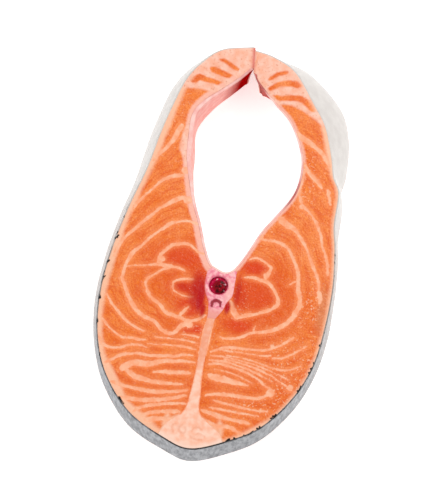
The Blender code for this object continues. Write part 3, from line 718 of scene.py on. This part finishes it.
class Finish:
    """A material and short ways to add nodes to it."""

    def __init__(self, name, roughness, specular, coat=0.0):
        self.material = bpy.data.materials.new(name)
        self.material.use_nodes = True
        self.tree = self.material.node_tree
        self.shader = self.tree.nodes["Principled BSDF"]
        self.set({"Roughness": roughness, "Specular IOR Level": specular,
                  "Coat Weight": coat, "Coat Roughness": 0.15})
        self.place = self.add("TexCoord").outputs["Object"]

    def set(self, values):
        for key, value in values.items():
            self.shader.inputs[key].default_value = value

    def add(self, kind, inputs=None, **settings):
        made = self.tree.nodes.new("ShaderNode" + kind)
        for key, value in settings.items():
            setattr(made, key, value)
        for key, value in (inputs or {}).items():
            if isinstance(value, bpy.types.NodeSocket):
                self.tree.links.new(value, made.inputs[key])
            else:
                made.inputs[key].default_value = value
        return made

    def value(self, name):
        return self.add("Attribute", attribute_name=name).outputs["Fac"]

    def noise(self, size, detail=2.0, stretch=(1, 1, 1), rough=0.5):
        """Noise from 0 to 1 whose lumps are about that many millimetres wide."""
        place = self.add("Mapping", {"Vector": self.place, "Scale": stretch}).outputs[0]
        inputs = {"Vector": place, "Scale": 1 / (size * MM), "Detail": detail, "Roughness": rough}
        return self.add("TexNoise", inputs).outputs[0]

    def along_sheets(self, across, along):
        """Noise drawn out beside the pale sheets, across and along in lumps per millimetre."""
        inputs = {"Vector": self.place, "Scale": (along / MM,) * 3}
        place = self.add("Mapping", inputs).outputs[0]
        parts = self.add("SeparateXYZ", {0: place}).outputs
        depth = self.times(self.value("line"), across)
        place = self.add("CombineXYZ", {0: parts[0], 1: parts[1], 2: depth}).outputs[0]
        inputs = {"Vector": place, "Scale": 1.0, "Detail": 2.0}
        return self.add("TexNoise", inputs).outputs[0]

    def math(self, operation, a, b):
        return self.add("Math", {0: a, 1: b}, operation=operation).outputs[0]

    def plus(self, a, b):
        return self.math("ADD", a, b)

    def times(self, a, b):
        return self.math("MULTIPLY", a, b)

    def ramp(self, value, low, high, bottom=0.0, top=1.0):
        """A smooth step from low, where it is bottom, to high, where it is top."""
        inputs = {"Value": value, "From Min": low, "From Max": high,
                  "To Min": bottom, "To Max": top}
        return self.add("MapRange", inputs, interpolation_type="SMOOTHSTEP").outputs[0]

    def fuzz(self, size, detail, amount):
        """Noise round nothing, which roughens the edges of what is drawn by a distance."""
        return self.times(self.math("SUBTRACT", self.noise(size, detail), 0.5), amount)

    def near(self, name, fuzz, low, high, bottom=0.0, top=1.0):
        """A smooth step over a distance that the fuzz roughens."""
        return self.ramp(self.plus(self.value(name), fuzz), low, high, bottom, top)

    def mix(self, factor, a, b):
        return self.add("Mix", {0: factor, 6: a, 7: b}, data_type="RGBA").outputs[2]

    def colour(self, value):
        self.tree.links.new(value, self.shader.inputs["Base Color"])

    def bump(self, height, depth, strength=1.0):
        inputs = {"Height": height, "Distance": depth * MM, "Strength": strength}
        made = self.add("Bump", inputs)
        self.tree.links.new(made.outputs[0], self.shader.inputs["Normal"])

    def roughness(self, value):
        self.tree.links.new(value, self.shader.inputs["Roughness"])


def flesh_finish():
    m = Finish("raw_salmon_flesh", 0.34, 0.2)
    broad = m.noise(14, 2)
    lumps = m.noise(3.2, 3)
    grain = m.noise(0.55, 2)
    streaks = m.along_sheets(1.3, 0.15)
    fuzz = m.fuzz(1.1, 3, 0.9)
    swell = m.fuzz(6, 2, 0.9)
    base = m.mix(m.ramp(broad, 0.3, 0.7), seen(251, 150, 82), seen(245, 134, 60))
    base = m.mix(m.value("deep"), base, seen(229, 97, 34))
    base = m.mix(m.ramp(lumps, 0.4, 0.75, 0.0, 0.35), base, seen(249, 160, 108))
    base = m.mix(m.ramp(streaks, 0.35, 0.7, 0.0, 0.55), base, seen(224, 88, 30))
    red = m.times(m.value("red"), m.ramp(lumps, 0.2, 0.6, 0.85, 1.0))
    base = m.mix(red, base, seen(222, 70, 18))
    base = m.mix(m.ramp(grain, 0.35, 0.65, 0.0, 0.42), base, seen(208, 70, 22))
    line = m.plus(m.plus(m.value("line"), fuzz), swell)
    plain = m.math("SUBTRACT", 1.0, m.times(m.value("blood"), 0.8))
    halo = m.times(m.ramp(line, 2.0, 0.1, 0.0, 0.42), plain)
    base = m.mix(halo, base, seen(250, 152, 98))
    base = m.mix(m.value("brown"), base, seen(196, 134, 100))
    rim = m.ramp(m.plus(m.plus(m.value("rim"), fuzz), swell), 3.0, 0.7, 0.0, 0.9)
    base = m.mix(rim, base, seen(254, 196, 164))
    hem = m.near("hem", fuzz, 1.3, 0.1, 0.0, 0.85)
    base = m.mix(hem, base, seen(249, 190, 172))
    cream = m.mix(m.ramp(lumps, 0.3, 0.7), seen(255, 190, 156), seen(251, 164, 122))
    pale = m.times(m.ramp(line, 0.36, -0.14, 0.0, 0.95), plain)
    base = m.mix(pale, base, cream)
    suet = m.mix(m.ramp(lumps, 0.3, 0.7), seen(252, 200, 180), seen(246, 178, 150))
    fat = m.times(m.near("fat", fuzz, -0.7, 0.7), m.near("strip", fuzz, -0.5, 0.6))
    base = m.mix(m.times(fat, 0.94), base, suet)
    darker = m.times(m.ramp(m.noise(0.9, 2), 0.58, 0.7, 0.0, 0.55), fat)
    base = m.mix(darker, base, seen(214, 138, 106))
    base = m.mix(m.value("seam"), base, seen(206, 92, 84))
    # painted highlights: pale glints of the wet surface, drawn by a noise threshold
    painted_glints = m.times(m.ramp(m.noise(0.85, 2), 0.6, 0.68), m.value("painted_glint"))
    base = m.mix(painted_glints, base, seen(255, 204, 170))
    blood = m.times(m.value("blood"), m.ramp(m.noise(1.3, 3), 0.25, 0.6, 0.85, 1.0))
    base = m.mix(m.ramp(blood, 0.0, 0.8), base, seen(186, 8, 36))
    speck = m.near("speck", m.times(fuzz, 0.6), 0.22, -0.12)
    base = m.mix(speck, base, seen(40, 34, 34))
    m.colour(base)
    m.roughness(m.ramp(m.noise(2.2, 2), 0.3, 0.7, 0.22, 0.42))
    m.bump(m.plus(m.noise(0.7, 3), m.noise(2.4, 2)), 0.34, 0.7)
    return m.material


def skin_finish():
    def lit(*values):
        return seen(*values, WALL_LIGHT)

    m = Finish("salmon_skin", 0.4, 0.45, 0.1)
    belly = m.value("belly")
    streaks = m.noise(1.6, 4, (1, 1, 0.25), 0.6)
    fine = m.noise(0.6, 2, (1, 1, 0.4))
    grey = m.mix(m.ramp(streaks, 0.35, 0.65), lit(104, 105, 112), lit(180, 181, 186))
    grey = m.mix(m.ramp(fine, 0.5, 0.75, 0.0, 0.5), grey, lit(90, 91, 98))
    pale = m.mix(m.ramp(streaks, 0.25, 0.75), lit(196, 182, 176), lit(226, 212, 204))
    white = m.mix(m.ramp(m.noise(4, 3), 0.3, 0.7), lit(252, 245, 239), lit(242, 234, 228))
    base = m.mix(m.ramp(belly, 0.15, 0.6), grey, pale)
    base = m.mix(m.ramp(belly, 0.6, 0.95), base, white)
    fuzz = m.fuzz(0.9, 3, 0.8)
    speck = m.near("speck", fuzz, 0.25, -0.15)
    lip = m.near("lip", m.times(fuzz, 2.0), 1.1, 0.6)
    base = m.mix(m.times(lip, m.value("dark")), base, lit(44, 40, 42))
    base = m.mix(speck, base, lit(36, 32, 34))
    m.colour(base)
    m.bump(m.plus(streaks, m.noise(0.7, 2)), 0.2, 0.5)
    return m.material


def lining_finish():
    m = Finish("belly_lining", 0.6, 0.0)
    base = m.mix(m.ramp(m.noise(3, 3), 0.3, 0.7), seen(250, 208, 200), seen(243, 182, 174))
    stain = m.mix(m.ramp(m.noise(1.6, 3), 0.3, 0.7), seen(186, 26, 40), seen(140, 4, 20))
    m.colour(m.mix(m.value("stain"), base, stain))
    m.bump(m.noise(1.2, 3, (1, 1, 0.4)), 0.25, 0.5)
    return m.material


def bone_finish():
    m = Finish("backbone", 0.3, 0.35)
    base = m.mix(m.ramp(m.noise(1.5, 3), 0.35, 0.65), seen(250, 186, 188), seen(234, 128, 148))
    base = m.mix(m.ramp(m.value("pale"), 0.0, 1.0, 0.0, 0.8), base, seen(249, 188, 180))
    base = m.mix(m.ramp(m.value("stem"), 0.0, 1.0), base, seen(237, 158, 146))
    fuzz = m.fuzz(0.9, 2, 0.9)
    base = m.mix(m.near("bow", fuzz, 0.35, -0.2, 0.0, 0.95), base, seen(150, 16, 50))
    base = m.mix(m.near("hole", fuzz, 0.8, 0.0, 0.0, 0.7), base, seen(206, 66, 100))
    base = m.mix(m.near("side", fuzz, 0.8, 0.0, 0.0, 0.75), base, seen(228, 104, 92))
    m.colour(base)
    m.bump(m.noise(0.9, 3), 0.25, 0.6)
    return m.material


def marrow_finish():
    m = Finish("marrow", 0.2, 0.08)
    dark = m.mix(m.ramp(m.noise(2.0, 3), 0.35, 0.65), seen(70, 0, 14), seen(150, 4, 46))
    edge = m.ramp(m.plus(m.value("cord"), m.noise(1.5, 2)), 2.7, 4.0, 0.0, 0.85)
    base = m.mix(edge, dark, seen(196, 16, 74))
    # painted highlights: small pale glints of the wet marrow, drawn by a noise threshold
    m.colour(m.mix(m.ramp(m.noise(0.9, 2), 0.64, 0.7, 0.0, 0.8), base, seen(252, 196, 206)))
    m.bump(m.noise(1.0, 2), 0.3, 0.6)
    return m.material


def fat_finish():
    m = Finish("back_fat", 0.42, 0.25)
    base = m.mix(m.ramp(m.noise(2.5, 3), 0.3, 0.7), seen(254, 208, 186), seen(249, 182, 152))
    fuzz = m.fuzz(1.2, 3, 1.0)
    base = m.mix(m.near("swirl", fuzz, 0.6, -0.3, 0.0, 0.45), base, seen(232, 150, 116))
    base = m.mix(m.near("side", fuzz, 0.7, 0.0, 0.0, 0.85), base, seen(242, 138, 84))
    stem = m.times(m.value("stem"), m.ramp(m.noise(2.0, 3), 0.3, 0.6, 0.55, 0.95))
    base = m.mix(stem, base, seen(241, 160, 126))
    base = m.mix(m.near("back", fuzz, 2.2, 0.3, 0.0, 0.8), base, seen(250, 216, 198))
    m.colour(base)
    m.bump(m.noise(1.0, 3), 0.25, 0.6)
    return m.material


# Pieces

origin = (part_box("marrow")[0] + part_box("marrow")[1]) / 2
origin.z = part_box("flesh_left")[0].z
outer, outer_away = outer_rows()
inner, inner_away, lining_thick = inner_rows()
strokes = dark_strokes()
flesh_material = flesh_finish()


def solid_spots(shape):
    """Where each point lies on the cut face, with its height, for noise that fits both faces."""
    return np.column_stack([shape.flat, shape.verts[:, 2]])


def faded(shape, reach):
    """0 at the edge of a face and near 1 beyond the reach, to keep relief off the edge."""
    return 1 - np.exp(-shape.edge / reach)


def make_flesh(name, left):
    shape = Shape([flesh_loop(left)], 0.0, THICK)
    spots = shape.flat
    x, y = spots[:, 0], spots[:, 1]
    waved = wavy(spots)
    line = np.minimum(lines_distance(waved, SHEETS, 0.5, 0.13), spots_distance(waved, PATCHES))

    # the pale rim under the skin, narrower at the right, and round the pad of fat below y = -56
    narrower = 1.1 * np.clip((x + 5) / 20, 0, 1)
    rim = edge_distance(outer[:, :2], spots) - SKIN_SHOWN + narrower - 1.6 * tone(spots, RIMMED)
    pad = smooth(FAT_LEFT if left else FAT_RIGHT, 1.0)
    rim = np.minimum(rim, edge_distance(pad, spots) + 1.1 + 0.6 * np.maximum(y + 56, 0))

    hem_width = 2.7 if left else 1.1
    seam_strength, seam_reach = (0.85, 1.1) if left else (0.4, 0.5)
    seam = seam_strength * np.exp(-(np.abs(x - slit_x(y)) / seam_reach) ** 2) * (y > 90)
    fat = np.full(len(spots), -FAR)
    for region in FAT_ENDS:
        region = np.array(region)
        reach = edge_distance(region, spots)
        fat = np.maximum(fat, np.where(inside(region, spots), reach, -reach))
    blood = tone(spots, BLOODY)
    shape.values = {
        "line": line,
        "rim": rim,
        "hem": edge_distance(inner[:, :2], spots) - hem_width,
        "strip": lines_distance(waved, STRIPS, 1.0),
        "fat": np.clip(fat, -FAR, FAR),
        "deep": tone(spots, DEEPER),
        "red": tone(spots, REDDER),
        "blood": blood,
        "brown": tone(spots, BROWNER),
        "seam": seam,
        "speck": strokes_distance(shape.verts, strokes),
        # painted highlights: a few pale wet glints everywhere, more where the table says
        "painted_glint": 0.12 + tone(spots, PAINTED_GLINTS),
    }

    # crowned as a whole, each flake puffed up between the sheets, and rough
    puff = 1 - np.exp(-np.maximum(line + 0.4, 0) / 1.1)
    rise = 0.28 * faded(shape, 6) + 0.26 * puff
    grain = solid_spots(shape)
    rise += 0.07 * value_noise(grain, 2.2, 1) + 0.05 * value_noise(grain, 0.9, 2)
    rise -= 0.25 * blood
    shape.lift(rise * faded(shape, 0.7))
    shape.build(name, flesh_material, name.replace("_cut", ""))


def band(front, back):
    """The closed loop of a band that runs from one belly end round to the other."""
    front, back = (side_ends(side_ends(rows, True, SLIT_SHIFT), False, SLIT_SHIFT)
                   for rows in (front, back))
    return np.vstack([front, back[::-1]])


def make_skin():
    back = inset(outer, outer_away, -(SKIN_THICK - SKIN_INSET))
    shape = Shape([band(outer, back)], SKIN_FOOT, THICK - SKIN_DROP, face_step=0.5, wave=0.16,
                  level=0.5)
    x, y = shape.flat[:, 0], shape.flat[:, 1]
    # grey to white from the back to the belly, and dark just under the edge round the back
    shape.values = {
        "belly": np.clip((y + 62) / 120, 0, 1),
        "speck": strokes_distance(shape.verts, strokes),
        "lip": THICK - shape.verts[:, 2],
        "dark": np.clip(1.3 - np.abs(x - 1) / 16, 0, 1) * (y < -50) + 0.3 * (y < 10),
    }
    shape.build("skin_band", skin_finish(), "skin")


def make_lining():
    back = inset(inner, inner_away, lining_thick)
    shape = Shape([band(back, inner)], LINING_FOOT, THICK, face_step=0.5, wave=0.12)
    x, y = shape.flat[:, 0], shape.flat[:, 1]
    left = x < -0.3     # of the slit, where a dark red remnant lies below the edge
    lower = np.clip((21.6 - shape.verts[:, 2]) / 3, 0, 1)
    remnant = np.clip((x + 10.5) / 7, 0, 1) * left * (y > 80) * (0.3 + 0.7 * lower)
    maroon = np.exp(-(((x - 23) / 4) ** 2) - ((y - 45) / 9) ** 2)
    maroon += 0.8 * ~left * np.clip((y - 84) / 3, 0, 1)
    shape.values = {"stain": np.clip(remnant + maroon * 0.9, 0, 1)}
    shape.build("belly_lining", lining_finish(), "cavity_lining")


def between(left, right):
    """A coarse closed loop down one side and up the other."""
    return np.vstack([smooth(left, 1.0), smooth(right, 1.0)[::-1]])


def make_fat():
    shape = Shape([fat_loop()], 0.0, THICK, rounding=0.12)
    y = shape.flat[:, 1]
    sides = between(FAT_LEFT, FAT_RIGHT)
    shape.values = {
        "swirl": lines_distance(wavy(shape.flat), SWIRLS),
        "side": edge_distance(sides, shape.flat) + FAR * (y < -55) + FAR * (y > -32),
        "stem": np.clip((y + 37) / 7, 0, 1),
        "back": edge_distance(outer[:, :2], shape.flat) - SKIN_SHOWN,
    }
    rise = 0.2 + 0.09 * value_noise(solid_spots(shape), 1.8, 3)
    shape.lift(rise * faded(shape, 0.8))
    shape.build("back_fat", fat_finish(), "dorsal_fat")


def make_bone():
    shape = Shape(bone_loops(), 0.0, THICK + 0.1, face_step=0.4)
    x, y = shape.flat[:, 0], shape.flat[:, 1]
    radius = np.hypot(x, y)
    sides = between(BONE_LEFT, BONE_RIGHT)
    elsewhere = FAR * (y > 4) + FAR * (y < -9)
    shape.values = {
        "bow": lines_distance(shape.flat, BOW),
        "stem": np.clip((-8.5 - y) / 4, 0, 1),
        "pale": np.exp(-(((x - 4.6) / 2.2) ** 2) - ((y + 2.5) / 6) ** 2),
        "hole": radius - MARROW_RADIUS,
        "side": edge_distance(sides, shape.flat) + elsewhere + 0.5 * (x > 0),
    }
    ring = np.exp(-((radius - 4.8) / 0.7) ** 2)
    rise = 0.1 + 0.2 * ring + 0.08 * value_noise(solid_spots(shape), 1.2, 4)
    shape.lift(rise * faded(shape, 0.5))
    shape.build("backbone_ring", bone_finish(), "backbone")


def make_marrow():
    loop = upright(circle(MARROW_RADIUS - 0.05, HOLE_SIDES))
    shape = Shape([loop], MARROW_SINK, THICK - MARROW_SINK, rounding=0.5, face_step=0.3)
    x, y = shape.flat[:, 0], shape.flat[:, 1]
    shape.values = {"cord": np.hypot(x - 0.5, y + 0.4)}
    dome = 0.5 * np.cos(np.clip(np.hypot(x, y) / MARROW_RADIUS, 0, 1) * 1.5)
    rise = dome + 0.18 * value_noise(solid_spots(shape), 1.5, 5)
    shape.lift(rise * faded(shape, 0.5))
    shape.build("marrow_core", marrow_finish(), "marrow")


make_flesh("flesh_left_cut", True)
make_flesh("flesh_right_cut", False)
make_skin()
make_lining()
make_fat()
make_bone()
make_marrow()

# Floor, light and camera

FLOOR_REACH = 3         # metres from the middle to each side
FLOOR_DROP = 0.0002     # metres below the steak, so that no two faces share a plane
AZIMUTH, ELEVATION = 9.2, 71.5
AIM = (-4.187, 14.549, 22.0)    # from the backbone's foot
DISTANCE = 0.7856       # metres
LENS, SENSOR = 140, 36

corners = [(x * FLOOR_REACH, y * FLOOR_REACH, -FLOOR_DROP)
           for x, y in ((-1, -1), (1, -1), (1, 1), (-1, 1))]
floor_mesh = bpy.data.meshes.new("floor")
floor_mesh.from_pydata(corners, [], [(0, 1, 2, 3)])
floor = bpy.data.objects.new("floor", floor_mesh)
scene.collection.objects.link(floor)
floor_finish = Finish("floor_white", 0.9, 0.1)
floor_finish.set({"Base Color": (0.93, 0.93, 0.93, 1), "Emission Color": (1, 1, 1, 1),
                  "Emission Strength": 0.55})
floor_mesh.materials.append(floor_finish.material)

world = bpy.data.worlds.new("studio")
world.use_nodes = True
sky = world.node_tree.nodes["Background"]
sky.inputs["Color"].default_value = (1.0, 1.0, 1.0, 1)
sky.inputs["Strength"].default_value = 0.74
scene.world = world
scene.view_settings.view_transform = "Standard"
scene.view_settings.look = "None"


def softbox(name, place, size, power):
    """A round soft light, in metres and watts, that points at the middle of the floor."""
    light = bpy.data.lights.new(name, "AREA")
    light.shape = "DISK"
    light.size = size
    light.energy = power
    made = bpy.data.objects.new(name, light)
    made.location = place
    made.rotation_mode = "QUATERNION"
    made.rotation_quaternion = (-Vector(place)).to_track_quat("-Z", "Y")
    scene.collection.objects.link(made)


softbox("key_light", (0.3, 0.55, 0.85), 0.22, 3.4)
softbox("fill_light", (-0.6, -0.5, 0.8), 0.7, 1.6)

azimuth, elevation = math.radians(AZIMUTH), math.radians(ELEVATION)
back = Vector((math.sin(azimuth) * math.cos(elevation), -math.cos(azimuth) * math.cos(elevation),
               math.sin(elevation)))
aim = Vector(origin) + Vector(AIM) * MM
camera = bpy.data.objects.new("camera", bpy.data.cameras.new("camera"))
camera.data.lens = LENS
camera.data.sensor_width = SENSOR
camera.location = aim + back * DISTANCE
camera.rotation_mode = "QUATERNION"
camera.rotation_quaternion = (-back).to_track_quat("-Z", "Y")
camera.data.clip_start = 0.01
scene.collection.objects.link(camera)
scene.camera = camera
